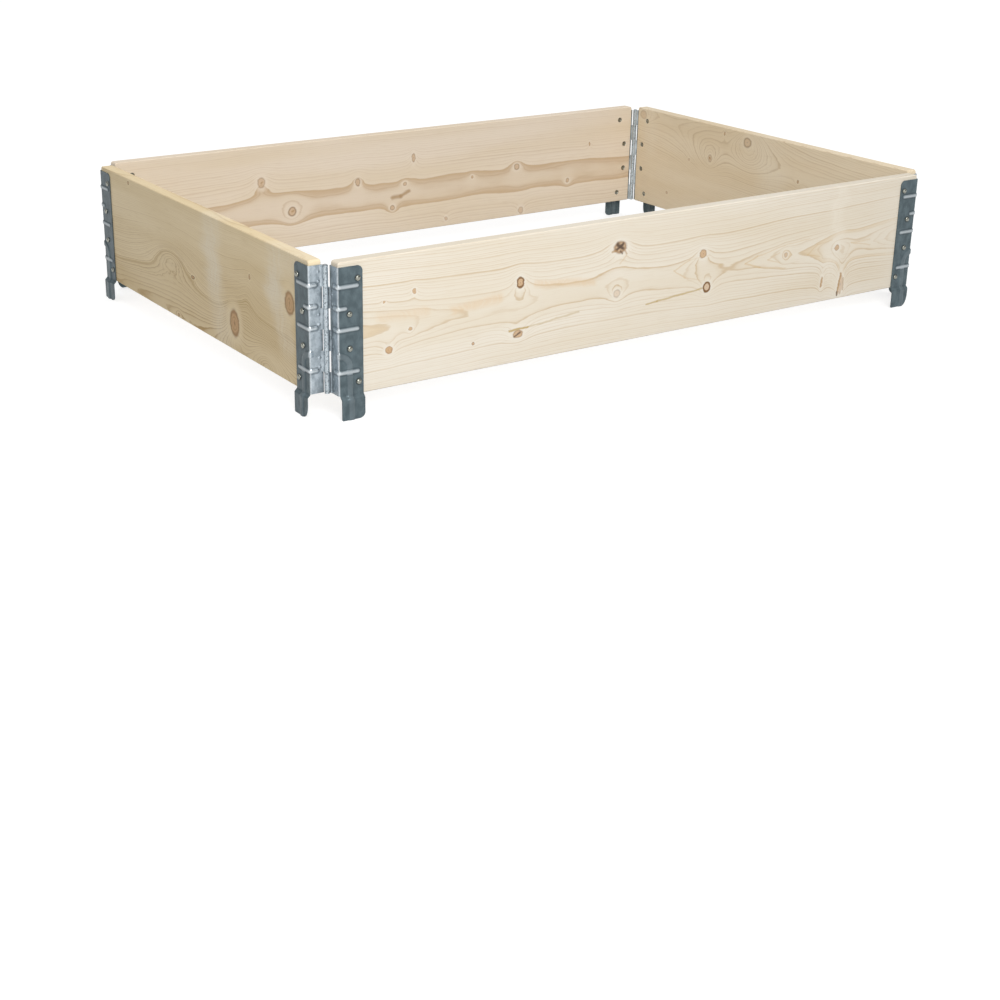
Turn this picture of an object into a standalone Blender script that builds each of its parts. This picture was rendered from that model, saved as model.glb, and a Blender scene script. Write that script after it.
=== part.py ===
"""Folding wooden pallet collar.

Four planed boards stand on edge in a rectangle. At each corner two pressed
steel leaves, one on each board, are joined by a pin through their interleaved
knuckles, so that the collar folds flat as a parallelogram. The skirt of each
leaf hangs below its board and laps the collar or pallet underneath.

X runs along the long boards, Y along the short ones, and Z is up. The origin
is at the middle of the collar, level with the bottom of the skirts.
"""

import math

import bmesh
import bpy
from mathutils import Matrix, Vector
from mathutils.geometry import delaunay_2d_cdt

# Collar, over the outer faces of its boards
COLLAR_LENGTH = 1.200
COLLAR_WIDTH = 0.800
BOARD_HEIGHT = 0.195
BOARD_THICKNESS = 0.020
BOARD_EDGE = 0.0012
BOARD_EDGE_ANGLE = math.radians(60)
BOARD_CORNER = 0.004

# Clearances
SEAT_GAP = 0.0003
PIN_CLEARANCE = 0.0004
PLATE_CLEARANCE = 0.0015

# Hinge pin and knuckles
SHEET = 0.0015
PIN_RADIUS = 0.0021
PIN_INSET = 0.0025
PIN_HEAD_OVERHANG = 0.0008
PIN_HEAD_HEIGHT = 0.0010
KNUCKLES = 6
CURL_ANGLE = math.radians(300)
JOG_LENGTH = 0.006

# Leaf: heights are measured from the underside of the board
LEAF_TOP_MARGIN = 0.007
LEAF_BOTTOM = 0.001
FACE_WIDTH = 0.040
FACE_CORNER = (0.008, 0.008)
BEND_RADIUS = 0.0025

# Skirt under the leaf, with the width and height of the curves that its corners are cut to
SKIRT_DROP = 0.035
JOGGLE_HEIGHT = 0.006
JOGGLE_OUT = 0.0045
BEND_CUT = (0.011, 0.020)
FREE_CUT = (0.010, 0.008)
SMALL_CUT = (0.002, 0.002)

# Pressed beads, just above each gap between knuckles
BEAD_RISE = 0.003
BEAD_WIDTH = 0.0042
BEAD_HEIGHT = 0.0014
BEAD_REACH = 0.0346
BEAD_REACH_SHORT = 0.0155
BEAD_RETURN = 0.014
BEAD_END = 0.0018
SHORT_BEAD = 4

# Pressed ridge: up the skirt, over the joggle and round to the bend
RIDGE_GAP = 2
RIDGE_INNER = 0.0115
RIDGE_WIDTH = 0.012
RIDGE_FLANK = 0.0035
RIDGE_HEIGHT = 0.0016
RIDGE_FADE = 0.008

# Rivets through the leaf and the board: the shoulder is a share of the head's radius and height
RIVETS = 4
RIVET_RADIUS = 0.003
RIVET_HEAD_RADIUS = 0.00425
RIVET_HEAD_HEIGHT = 0.0026
RIVET_HEAD_SHOULDER = (0.64, 0.76)
RIVET_FOOT_RADIUS = 0.005
RIVET_FOOT_HEIGHT = 0.0015
RIVET_FOOT_SINK = 0.0005
RIVET_TOP_MARGIN = 0.0248
RIVET_BOTTOM_MARGIN = 0.019
RIVET_OUTER_COLUMN = 0.032
RIVET_INNER_COLUMN = 0.0182

# How finely the curves are divided
BEND_STEPS = 3
CURL_STEPS = 8
CORNER_STEPS = 3
JOGGLE_STEPS = 3
RIDGE_STEPS = 5
ROUND_STEPS = 8
PIN_STEPS = 10
MERGE = 0.00001
SHARP_ANGLE = math.radians(20)
LAID_DOWN = math.radians(-90)

# Worked out from the sizes above
KNUCKLE_BORE = PIN_RADIUS + PIN_CLEARANCE
KNUCKLE_RADIUS = KNUCKLE_BORE + SHEET
PIN_OFFSET = BOARD_THICKNESS + PIN_INSET
PLATE_U = KNUCKLE_RADIUS + PLATE_CLEARANCE
FACE_V = PIN_OFFSET + SEAT_GAP + SHEET
LEAF_TOP = BOARD_HEIGHT - LEAF_TOP_MARGIN
KNUCKLE_PITCH = (LEAF_TOP - LEAF_BOTTOM) / KNUCKLES
JOG_A = -(FACE_V - JOG_LENGTH)
CUT_A = -(FACE_V - PIN_INSET)
CURL_A = -FACE_V
CURL_END_A = CURL_A - KNUCKLE_BORE * CURL_ANGLE
HALF_X = COLLAR_LENGTH / 2 - PIN_OFFSET
HALF_Y = COLLAR_WIDTH / 2 - PIN_OFFSET
RIVET_PITCH = (BOARD_HEIGHT - RIVET_TOP_MARGIN - RIVET_BOTTOM_MARGIN) / (RIVETS - 1)
RIDGE_OUTER = RIDGE_INNER + RIDGE_WIDTH

# Colours: colour, roughness, metallic
SPRUCE = ((0.72, 0.60, 0.42, 1.0), 0.65, 0.0)
ZINC_STEEL = ((0.16, 0.21, 0.24, 1.0), 0.40, 0.85)
RIVET_STEEL = ((0.35, 0.36, 0.33, 1.0), 0.35, 0.90)
PIN_STEEL = ((0.40, 0.42, 0.42, 1.0), 0.35, 0.90)


def clear_scene():
    for old in list(bpy.data.objects):
        bpy.data.objects.remove(old, do_unlink=True)


def new_collection(name):
    collection = bpy.data.collections.new(name)
    bpy.context.scene.collection.children.link(collection)
    return collection


def material(name, finish):
    colour, roughness, metallic = finish
    made = bpy.data.materials.new(name)
    made.use_nodes = True
    shader = made.node_tree.nodes["Principled BSDF"]
    shader.inputs["Base Color"].default_value = colour
    shader.inputs["Roughness"].default_value = roughness
    shader.inputs["Metallic"].default_value = metallic
    made.diffuse_color = colour
    return made


def add_object(name, mesh, finish, pivot, place, turn):
    """Put a mesh in the collar at a world place, turned about Z, under its fold pivot."""
    made = bpy.data.objects.new(name, mesh)
    COLLAR.objects.link(made)
    made.data.materials.clear()
    made.data.materials.append(finish)
    made.rotation_euler = (0.0, 0.0, turn)
    hang(made, place, pivot)
    return made


def hang(piece, place, pivot):
    """Parent a piece to the empty on its fold axis and bring it to a world place."""
    piece.parent = pivot
    piece.location = Vector(place)
    if pivot:
        piece.location -= pivot.matrix_world.translation


def smooth(mesh):
    mesh.shade_smooth()
    mesh.set_sharp_from_angle(angle=SHARP_ANGLE)


def turned_mesh(name, profile, steps):
    """Turn a profile of (radius, height) points, top to bottom, about Z."""
    line = bpy.data.meshes.new(name + "_line")
    edges = [(i, i + 1) for i in range(len(profile) - 1)]
    line.from_pydata([(radius, 0.0, height) for radius, height in profile], edges, [])
    spun = bpy.data.objects.new(name + "_turning", line)
    CUTTERS.objects.link(spun)
    screw = spun.modifiers.new("Turn", "SCREW")
    screw.steps = steps
    screw.render_steps = steps
    screw.use_merge_vertices = True
    screw.merge_threshold = MERGE
    bpy.context.view_layer.update()
    depsgraph = bpy.context.evaluated_depsgraph_get()
    mesh = bpy.data.meshes.new_from_object(spun.evaluated_get(depsgraph))
    mesh.name = name
    bpy.data.objects.remove(spun)
    return mesh


def knuckle_gap(number):
    """Height of the gap above the given knuckle, counted from the bottom."""
    return LEAF_BOTTOM + number * KNUCKLE_PITCH


def bead_height(number):
    return knuckle_gap(number) + BEAD_RISE


def rivet_places():
    """Distance from the bend and height of each rivet; the lowest and highest are further in."""
    places = []
    for row in range(RIVETS):
        column = RIVET_OUTER_COLUMN if row in (0, RIVETS - 1) else RIVET_INNER_COLUMN
        places.append((column, RIVET_BOTTOM_MARGIN + row * RIVET_PITCH))
    return places


# A leaf is drawn as a flat blank, pressed, and then folded and curled.
# On the blank, a is the distance from the bend: positive on the face, negative
# on the end plate and knuckles. In plan, u runs from the pin along the board
# and v from the pin towards the outside of the collar.


def plan_stations(jogged):
    """Outer surface of the folded sheet in plan, as (a, u, v) from the face's free edge."""
    stations = [(FACE_WIDTH, PLATE_U + FACE_WIDTH, FACE_V)]
    for step in range(BEND_STEPS + 1):
        share = step / BEND_STEPS
        angle = math.radians(90) * (1 + share)
        u = PLATE_U + BEND_RADIUS * (1 + math.cos(angle))
        v = FACE_V - BEND_RADIUS * (1 - math.sin(angle))
        stations.append((BEND_RADIUS * (1 - 2 * share), u, v))
    if not jogged:
        stations.append((CUT_A, PLATE_U, PIN_INSET))
        return stations
    stations.append((JOG_A, PLATE_U, JOG_LENGTH))
    for step in range(CURL_STEPS + 1):
        angle = CURL_ANGLE * step / CURL_STEPS
        a = CURL_A - KNUCKLE_BORE * angle
        stations.append((a, KNUCKLE_BORE * math.cos(angle), -KNUCKLE_BORE * math.sin(angle)))
    return stations


def fold(a, stations):
    """Place and outward normal, in plan, of the point of the blank at a."""
    normals = []
    for (_, u0, v0), (_, u1, v1) in zip(stations, stations[1:]):
        normals.append(Vector((v1 - v0, u0 - u1)).normalized())
    for index, (station, u, v) in enumerate(stations):
        if abs(a - station) < MERGE:
            before = normals[max(index - 1, 0)]
            after = normals[min(index, len(normals) - 1)]
            return Vector((u, v)), (before + after).normalized()
    for index, normal in enumerate(normals):
        a0, u0, v0 = stations[index]
        a1, u1, v1 = stations[index + 1]
        if a0 > a > a1:
            share = (a0 - a) / (a0 - a1)
            return Vector((u0, v0)).lerp(Vector((u1, v1)), share), normal
    raise ValueError("point off the blank")


def ease(value):
    value = min(max(value, 0.0), 1.0)
    return value * value * (3 - 2 * value)


def trapezium(distance, half_width, flank):
    """Height share of a pressed form with sloping flanks, at a distance from its middle line."""
    return min(max((half_width - abs(distance)) / flank, 0.0), 1.0)


def bead_reach(number):
    return BEAD_REACH_SHORT if number == SHORT_BEAD else BEAD_REACH


def bead_numbers():
    return [number for number in range(1, KNUCKLES) if number != RIDGE_GAP]


def pressed_height(a, z):
    """How far the press pushes the sheet out at a point of the blank."""
    height = 0.0
    for number in bead_numbers():
        across = trapezium(z - bead_height(number), BEAD_WIDTH / 2, BEAD_WIDTH / 2)
        along = min(bead_reach(number) - a, a + BEAD_RETURN) / BEAD_END
        height = max(height, BEAD_HEIGHT * min(across, max(along, 0.0)))
    rise = max(z - ridge_centre(), 0.0)
    radius = math.hypot(max(a, BEND_RADIUS), rise)
    ring = trapezium(radius - (RIDGE_INNER + RIDGE_OUTER) / 2, RIDGE_WIDTH / 2, RIDGE_FLANK)
    fade = min(max((a + RIDGE_FADE) / (RIDGE_FADE - BEND_RADIUS), 0.0), 1.0)
    return max(height, RIDGE_HEIGHT * ring * fade)


def ridge_centre():
    return bead_height(RIDGE_GAP) - RIDGE_OUTER


def joggle_share(z):
    return ease((LEAF_BOTTOM - z) / JOGGLE_HEIGHT)


def joggle_rows():
    return [LEAF_BOTTOM - JOGGLE_HEIGHT * step / JOGGLE_STEPS for step in range(JOGGLE_STEPS + 1)]


def ridge_lines():
    """The four lines of the ridge's trapezium, as distances from the bend."""
    return (RIDGE_INNER, RIDGE_INNER + RIDGE_FLANK, RIDGE_OUTER - RIDGE_FLANK, RIDGE_OUTER)


def skirt_cuts(hand):
    """Size of the cut at the bend and at the free edge of a skirt.

    Seen from outside, each skirt is cut back at its lower right corner, which
    is beside the bend on a left-hand leaf and at the free edge on a right-hand one.
    """
    return (BEND_CUT, SMALL_CUT) if hand == "left" else (SMALL_CUT, FREE_CUT)


def corners(hand):
    """Rounded corners of the blank: tip (a, z), the way inwards, and the size of the curve."""
    bend_cut, free_cut = skirt_cuts(hand)
    return [
        (FACE_WIDTH, LEAF_TOP, -1, -1, FACE_CORNER),
        (FACE_WIDTH, -SKIRT_DROP, -1, 1, free_cut),
        (BEND_RADIUS, -SKIRT_DROP, 1, 1, bend_cut),
    ]


def corner_line(a, z, a_way, z_way, size):
    width, height = size
    line = []
    for step in range(CORNER_STEPS + 1):
        angle = math.radians(90) * step / CORNER_STEPS
        line.append((a + a_way * width * (1 - math.cos(angle)),
                     z + z_way * height * (1 - math.sin(angle))))
    return line


def outline(hand):
    """Outline of the blank without its slots, as lists of (a, z) points."""
    curves = [corner_line(*corner) for corner in corners(hand)]
    top, free, bend = curves
    lines = [[top[-1], (CURL_END_A, LEAF_TOP)], [top[0], free[0]], [free[-1], bend[-1]]]
    lines.append([bend[0], (BEND_RADIUS, LEAF_BOTTOM), (CURL_END_A, LEAF_BOTTOM)])
    return curves + lines


def crease_lines(hand):
    """Every line that the blank is divided along, as lists of (a, z) points."""
    lines = outline(hand)
    lines += [[(BEND_RADIUS, row), (FACE_WIDTH, row)] for row in joggle_rows()]
    for a, _, _ in plan_stations(True)[1:BEND_STEPS + 2]:
        lines.append([(a, LEAF_BOTTOM), (a, LEAF_TOP)])
    lines.append([(JOG_A, LEAF_BOTTOM), (JOG_A, LEAF_TOP)])
    for knuckle in range(KNUCKLES):
        low, high = knuckle_rows(knuckle)
        stations = plan_stations(owns(hand, knuckle))
        lines += [[(JOG_A, row), (stations[-1][0], row)] for row in (low, high)]
        lines += [[(a, low), (a, high)] for a, _, _ in stations if a < JOG_A]
    for number in bead_numbers():
        middle = bead_height(number)
        reach = bead_reach(number)
        for side in (-BEAD_WIDTH / 2, 0.0, BEAD_WIDTH / 2):
            ends = (reach - BEAD_END, BEAD_END - BEAD_RETURN)
            lines.append([(reach, middle), (ends[0], middle + side), (ends[1], middle + side),
                          (-BEAD_RETURN, middle)])
    for radius in ridge_lines():
        centre = ridge_centre()
        last = math.acos(BEND_RADIUS / radius)
        arc = [(radius, -SKIRT_DROP)]
        for step in range(RIDGE_STEPS + 1):
            angle = last * step / RIDGE_STEPS
            arc.append((radius * math.cos(angle), centre + radius * math.sin(angle)))
        arc.append((-RIDGE_FADE, arc[-1][1]))
        lines.append(arc)
    for column, row in rivet_places():
        ring = []
        for step in range(ROUND_STEPS + 1):
            angle = math.radians(360) * step / ROUND_STEPS
            radius = RIVET_RADIUS + SEAT_GAP
            ring.append((column + radius * math.cos(angle), row + radius * math.sin(angle)))
        lines.append(ring)
    return lines


def owns(hand, knuckle):
    """The left-hand leaf owns the top knuckle and every second one below it."""
    return (knuckle + KNUCKLES) % 2 == (1 if hand == "left" else 0)


def knuckle_rows(knuckle):
    """Lowest and highest point of a knuckle, with half the gap taken off where another meets it."""
    low = knuckle_gap(knuckle) + (SEAT_GAP / 2 if knuckle > 0 else 0.0)
    high = knuckle_gap(knuckle + 1) - (SEAT_GAP / 2 if knuckle < KNUCKLES - 1 else 0.0)
    return low, high


def is_metal(a, z, hand):
    """Whether a point of the blank is left after its outline, slots and holes are cut."""
    if not (-SKIRT_DROP < z < LEAF_TOP and a < FACE_WIDTH):
        return False
    for tip_a, tip_z, a_way, z_way, (width, height) in corners(hand):
        across = 1 - (a - tip_a) * a_way / width
        along = 1 - (z - tip_z) * z_way / height
        if min(across, along) > 0 and math.hypot(across, along) > 1:
            return False
    flat_radius = (RIVET_RADIUS + SEAT_GAP) * math.cos(math.pi / ROUND_STEPS)
    for column, row in rivet_places():
        if math.hypot(a - column, z - row) < flat_radius:
            return False
    if z < LEAF_BOTTOM:
        return a > BEND_RADIUS
    if a > JOG_A:
        return True
    for knuckle in range(KNUCKLES):
        low, high = knuckle_rows(knuckle)
        if low < z < high:
            return a > (CURL_END_A if owns(hand, knuckle) else CUT_A)
    return False


def formed_point(a, z, hand):
    """Place in (u, v, z) of a point of the blank after pressing, folding and curling."""
    knuckle = min(max(int((z - LEAF_BOTTOM) / KNUCKLE_PITCH), 0), KNUCKLES - 1)
    place, normal = fold(a, plan_stations(owns(hand, knuckle)))
    place = place + normal * (pressed_height(a, z) + JOGGLE_OUT * joggle_share(z))
    return Vector((place.x, place.y, z + SKIRT_DROP))


def leaf_mesh(hand):
    """Outer surface of a leaf, with the pin's axis at its origin and u along X."""
    points = []
    edges = []
    for line in crease_lines(hand):
        first = len(points)
        points += [Vector(point) for point in line]
        edges += [(first + i, first + i + 1) for i in range(len(line) - 1)]
    flat_points, _, triangles, _, _, _ = delaunay_2d_cdt(points, edges, [], 0, MERGE, False)
    side = 1 if hand == "left" else -1
    shell = bmesh.new()
    placed = {}
    for triangle in triangles:
        middle = sum((flat_points[i] for i in triangle), Vector((0.0, 0.0))) / 3
        if not is_metal(middle.x, middle.y, hand):
            continue
        for i in triangle:
            if i not in placed:
                place = formed_point(flat_points[i].x, flat_points[i].y, hand)
                placed[i] = shell.verts.new((place.x, place.y * side, place.z))
        shell.faces.new([placed[i] for i in triangle][::-side])
    mesh = bpy.data.meshes.new(hand + "_leaf")
    shell.to_mesh(mesh)
    shell.free()
    smooth(mesh)
    return mesh


def rivet_profile(grow):
    """Half outline of a rivet from its head to its foot, grown all round for its hole."""
    head = FACE_V + SEAT_GAP
    foot = PIN_INSET + RIVET_FOOT_SINK
    shank = RIVET_RADIUS + grow
    if grow:
        step = foot + RIVET_FOOT_HEIGHT + grow
        wide = RIVET_FOOT_RADIUS + grow
        return [(0.0, head), (shank, head), (shank, step), (wide, step), (wide, 0.0), (0.0, 0.0)]
    shoulder_radius, shoulder_height = RIVET_HEAD_SHOULDER
    return [
        (0.0, head + RIVET_HEAD_HEIGHT),
        (RIVET_HEAD_RADIUS * shoulder_radius, head + RIVET_HEAD_HEIGHT * shoulder_height),
        (RIVET_HEAD_RADIUS, head),
        (shank, head),
        (shank, foot + RIVET_FOOT_HEIGHT),
        (RIVET_FOOT_RADIUS, foot + RIVET_FOOT_HEIGHT),
        (RIVET_FOOT_RADIUS, foot),
        (0.0, foot),
    ]


def drill_mesh(name, places):
    """Cutters of a board's rivet holes, at (x, z) places, with their heads towards +Y."""
    group = bmesh.new()
    lay_down = Matrix.Rotation(LAID_DOWN, 4, "X")
    for x, z in places:
        first = len(group.verts)
        group.from_mesh(HOLE)
        group.verts.ensure_lookup_table()
        move = Matrix.Translation((x, 0.0, z)) @ lay_down
        bmesh.ops.transform(group, matrix=move, verts=group.verts[first:])
    mesh = bpy.data.meshes.new(name)
    group.to_mesh(mesh)
    group.free()
    return mesh


def board_mesh(name, length):
    """A board on edge along X, with its ends' top corners rounded and its foot at the skirt drop."""
    board = bmesh.new()
    size = Matrix.Diagonal((length, BOARD_THICKNESS, BOARD_HEIGHT, 1.0))
    middle = Matrix.Translation((0.0, 0.0, SKIRT_DROP + BOARD_HEIGHT / 2))
    bmesh.ops.create_cube(board, size=1.0, matrix=middle @ size)
    top_corners = []
    for edge in board.edges:
        one, other = edge.verts
        if min(one.co.z, other.co.z) > SKIRT_DROP + BOARD_HEIGHT / 2 and one.co.x * other.co.x > 0:
            top_corners.append(edge)
    bmesh.ops.bevel(board, geom=top_corners, offset=BOARD_CORNER, segments=CORNER_STEPS,
                    profile=0.5, affect="EDGES")
    mesh = bpy.data.meshes.new(name)
    board.to_mesh(mesh)
    board.free()
    return mesh


def add_board(name, half_span, place, turn, pivot):
    """A board between two pins, eased along its edges and drilled for the rivets of both leaves."""
    length = 2 * (half_span - PLATE_U - SHEET - SEAT_GAP)
    board = add_object(name, board_mesh(name, length), WOOD, pivot, place, turn)
    eased = board.modifiers.new("Eased edges", "BEVEL")
    eased.width = BOARD_EDGE
    eased.segments = 1
    eased.limit_method = "ANGLE"
    eased.angle_limit = BOARD_EDGE_ANGLE
    places = []
    for column, row in rivet_places():
        reach = half_span - PLATE_U - column
        places += [(reach, row + SKIRT_DROP), (-reach, row + SKIRT_DROP)]
    cutter = bpy.data.objects.new(name + "_drill", drill_mesh(name + "_drill", places))
    CUTTERS.objects.link(cutter)
    cutter.hide_render = True
    cutter.display_type = "WIRE"
    depth = PIN_OFFSET - BOARD_THICKNESS / 2
    inward = Matrix.Rotation(turn, 3, "Z") @ Vector((0.0, -depth, 0.0))
    hang(cutter, Vector(place) + inward, pivot)
    cutter.rotation_euler = board.rotation_euler
    drilled = board.modifiers.new("Rivet holes", "BOOLEAN")
    drilled.operation = "DIFFERENCE"
    drilled.solver = "EXACT"
    drilled.object = cutter
    return board


def add_pivot(name, pin_place, parent):
    """An empty on the pin that a board folds about."""
    pivot = bpy.data.objects.new(name, None)
    COLLAR.objects.link(pivot)
    pivot.empty_display_size = BOARD_HEIGHT / 4
    hang(pivot, pin_place, parent)
    bpy.context.view_layer.update()
    return pivot


def pin_profile():
    """Half outline of a pin with both ends peened over the knuckles."""
    top = SKIRT_DROP + LEAF_TOP + SEAT_GAP + PIN_HEAD_HEIGHT
    bottom = SKIRT_DROP + LEAF_BOTTOM - SEAT_GAP - PIN_HEAD_HEIGHT
    rim = PIN_RADIUS + PIN_HEAD_OVERHANG
    crown = PIN_HEAD_HEIGHT / 2
    half = [(0.0, 0.0), (PIN_RADIUS, 0.0), (rim, crown), (rim, PIN_HEAD_HEIGHT),
            (PIN_RADIUS, PIN_HEAD_HEIGHT)]
    upper = [(radius, top - drop) for radius, drop in half]
    lower = [(radius, bottom + drop) for radius, drop in reversed(half)]
    return upper + lower


def add_leaf(name, hand, pin_place, board_turn, pivot):
    """A leaf with its rivets at one end of a board; board_turn brings +Y to the way out."""
    turn = board_turn if hand == "left" else board_turn + math.radians(180)
    leaf = add_object(name + "_leaf", LEAVES[hand], STEEL, pivot, pin_place, turn)
    solid = leaf.modifiers.new("Sheet", "SOLIDIFY")
    solid.thickness = SHEET
    solid.offset = -1.0
    solid.use_even_offset = True
    along = Vector((math.cos(turn), math.sin(turn), 0.0))
    for number, (column, row) in enumerate(rivet_places(), start=1):
        place = Vector(pin_place) + along * (PLATE_U + column)
        place.z = row + SKIRT_DROP
        rivet = add_object(f"{name}_rivet_{number}", RIVET_MESH, RIVET, pivot, place, board_turn)
        rivet.rotation_euler.x = LAID_DOWN


clear_scene()
COLLAR = new_collection("pallet_collar")
CUTTERS = new_collection("cutters")
WOOD = material("spruce", SPRUCE)
STEEL = material("zinc_plated_steel", ZINC_STEEL)
RIVET = material("rivet_steel", RIVET_STEEL)
PIN = material("pin_steel", PIN_STEEL)

LEAVES = {hand: leaf_mesh(hand) for hand in ("left", "right")}
HOLE = turned_mesh("rivet_hole", rivet_profile(SEAT_GAP), ROUND_STEPS)
RIVET_MESH = turned_mesh("rivet", rivet_profile(0.0), ROUND_STEPS)
PIN_MESH = turned_mesh("hinge_pin", pin_profile(), PIN_STEPS)
smooth(RIVET_MESH)
smooth(PIN_MESH)

# Signs of X and Y at each side
SIDES = {"left": -1, "right": 1, "front": -1, "back": 1}

# The front board stands still. The left and right boards fold about the front
# pins, and the back board hangs on the left board and stays parallel to the front.
FRONT_LEFT = add_pivot("fold_front_left", (-HALF_X, -HALF_Y, 0.0), None)
FRONT_RIGHT = add_pivot("fold_front_right", (HALF_X, -HALF_Y, 0.0), None)
BACK_LEFT = add_pivot("fold_back_left", (-HALF_X, HALF_Y, 0.0), FRONT_LEFT)
PIVOTS = {"front": None, "left": FRONT_LEFT, "right": FRONT_RIGHT, "back": BACK_LEFT}

for board in ("front", "back"):
    pivot = PIVOTS[board]
    side = SIDES[board]
    turn = math.radians(0 if side > 0 else 180)
    place = (0.0, side * (COLLAR_WIDTH - BOARD_THICKNESS) / 2, 0.0)
    add_board(board + "_board", HALF_X, place, turn, pivot)
    for end in ("left", "right"):
        pin_place = (SIDES[end] * HALF_X, side * HALF_Y, 0.0)
        add_object(f"{board}_{end}_pin", PIN_MESH, PIN, pivot, pin_place, 0.0)
        hand = "left" if SIDES[end] * side < 0 else "right"
        add_leaf(f"{board}_board_{end}", hand, pin_place, turn, pivot)

for board in ("left", "right"):
    pivot = PIVOTS[board]
    side = SIDES[board]
    turn = math.radians(-90) * side
    place = (side * (COLLAR_LENGTH - BOARD_THICKNESS) / 2, 0.0, 0.0)
    add_board(board + "_board", HALF_Y, place, turn, pivot)
    for end in ("front", "back"):
        pin_place = (side * HALF_X, SIDES[end] * HALF_Y, 0.0)
        hand = "left" if SIDES[end] * side > 0 else "right"
        add_leaf(f"{board}_board_{end}", hand, pin_place, turn, pivot)

bpy.context.view_layer.update()
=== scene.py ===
"""Dresses the folding wooden pallet collar: spruce boards, zinc-plated corner hinges, rivets and pins."""

import math

import bpy
from mathutils import Matrix, Vector


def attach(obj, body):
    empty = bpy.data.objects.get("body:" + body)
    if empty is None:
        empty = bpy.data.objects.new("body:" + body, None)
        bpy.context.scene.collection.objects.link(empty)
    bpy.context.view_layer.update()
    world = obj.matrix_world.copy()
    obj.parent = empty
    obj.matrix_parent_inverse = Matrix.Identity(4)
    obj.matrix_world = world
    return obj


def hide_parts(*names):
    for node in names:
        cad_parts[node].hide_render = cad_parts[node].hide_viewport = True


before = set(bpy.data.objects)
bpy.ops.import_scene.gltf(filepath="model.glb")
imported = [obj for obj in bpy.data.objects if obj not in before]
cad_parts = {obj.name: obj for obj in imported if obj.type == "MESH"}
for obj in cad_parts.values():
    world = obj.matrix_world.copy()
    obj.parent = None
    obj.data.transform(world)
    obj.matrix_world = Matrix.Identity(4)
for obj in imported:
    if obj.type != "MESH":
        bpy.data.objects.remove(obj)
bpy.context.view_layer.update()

# The camera stands at the front left corner, a little above the collar, where the
# photograph was taken from. Its place and angle were solved from the boards' edges.
CAMERA_PLACE = Vector((-1.67911, -2.37997, 0.83119))
CAMERA_YAW = 0.9872
CAMERA_PITCH = 0.3753
CAMERA_ROLL = 0.0109
CAMERA_FOCAL_PIXELS = 1696.25
CAMERA_MIDDLE = (456.26, 461.35)
PICTURE_PIXELS = 1000
SENSOR_MM = 36.0

camera_data = bpy.data.cameras.new("camera")
camera = bpy.data.objects.new("camera", camera_data)
bpy.context.scene.collection.objects.link(camera)
ahead = Vector((math.cos(CAMERA_YAW) * math.cos(CAMERA_PITCH),
                math.sin(CAMERA_YAW) * math.cos(CAMERA_PITCH), -math.sin(CAMERA_PITCH)))
level_right = Vector((math.sin(CAMERA_YAW), -math.cos(CAMERA_YAW), 0.0))
level_up = level_right.cross(ahead)
camera_right = math.cos(CAMERA_ROLL) * level_right + math.sin(CAMERA_ROLL) * level_up
camera_up = math.cos(CAMERA_ROLL) * level_up - math.sin(CAMERA_ROLL) * level_right
turn = Matrix((camera_right, camera_up, -ahead)).transposed().to_4x4()
camera.matrix_world = Matrix.Translation(CAMERA_PLACE) @ turn
camera_data.sensor_width = SENSOR_MM
camera_data.lens = CAMERA_FOCAL_PIXELS * SENSOR_MM / PICTURE_PIXELS
camera_data.shift_x = (PICTURE_PIXELS / 2 - CAMERA_MIDDLE[0]) / PICTURE_PIXELS
camera_data.shift_y = (CAMERA_MIDDLE[1] - PICTURE_PIXELS / 2) / PICTURE_PIXELS
camera_data.clip_end = 100.0
bpy.context.scene.camera = camera
bpy.context.scene.view_settings.view_transform = "Standard"

# A wide pale floor under the skirts, a soft sky that is brightest overhead, and one large
# square lamp in front, a little to the left, which shades the left side and the inside.
FLOOR_SIZE = 60.0
FLOOR_COLOUR = (0.45, 0.45, 0.45, 1.0)
FLOOR_GLOW = 0.68
SKY_LOW = 0.18
SKY_HIGH = 1.05
LAMP_PLACE = Vector((-1.0, -2.8, 1.5))
LAMP_AIM = Vector((0.0, -0.3, 0.1))
LAMP_SIZE = 1.6
LAMP_WATTS = 62.0


def add_node(tree, kind, inputs=None, **settings):
    """Adds a shader node. Each input is a value or the socket that feeds it."""
    made = tree.nodes.new(kind)
    for name, value in settings.items():
        setattr(made, name, value)
    for name, value in (inputs or {}).items():
        if isinstance(value, bpy.types.NodeSocket):
            tree.links.new(value, made.inputs[name])
        else:
            made.inputs[name].default_value = value
    return made


def new_material(name):
    """A material with only its Principled shader, ready for its nodes."""
    made = bpy.data.materials.new(name)
    made.use_nodes = True
    return made, made.node_tree, made.node_tree.nodes["Principled BSDF"]


bpy.ops.object.select_all(action="DESELECT")
bpy.ops.mesh.primitive_plane_add(size=FLOOR_SIZE, location=(0.0, 0.0, 0.0))
floor = bpy.context.object
floor.name = "floor"
floor_paint, floor_tree, floor_shader = new_material("floor_paint")
floor_shader.inputs["Base Color"].default_value = FLOOR_COLOUR
seen = add_node(floor_tree, "ShaderNodeLightPath").outputs
looked_at = add_node(floor_tree, "ShaderNodeMath", operation="MAXIMUM")
floor_tree.links.new(seen["Is Camera Ray"], looked_at.inputs[0])
floor_tree.links.new(seen["Is Glossy Ray"], looked_at.inputs[1])
through = add_node(floor_tree, "ShaderNodeMath", {0: looked_at.outputs[0]}, operation="MAXIMUM")
floor_tree.links.new(seen["Is Transmission Ray"], through.inputs[1])
glow = add_node(floor_tree, "ShaderNodeMath", {0: through.outputs[0], 1: FLOOR_GLOW}, operation="MULTIPLY")
floor_shader.inputs["Emission Color"].default_value = (1.0, 1.0, 1.0, 1.0)
floor_tree.links.new(glow.outputs[0], floor_shader.inputs["Emission Strength"])
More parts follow.
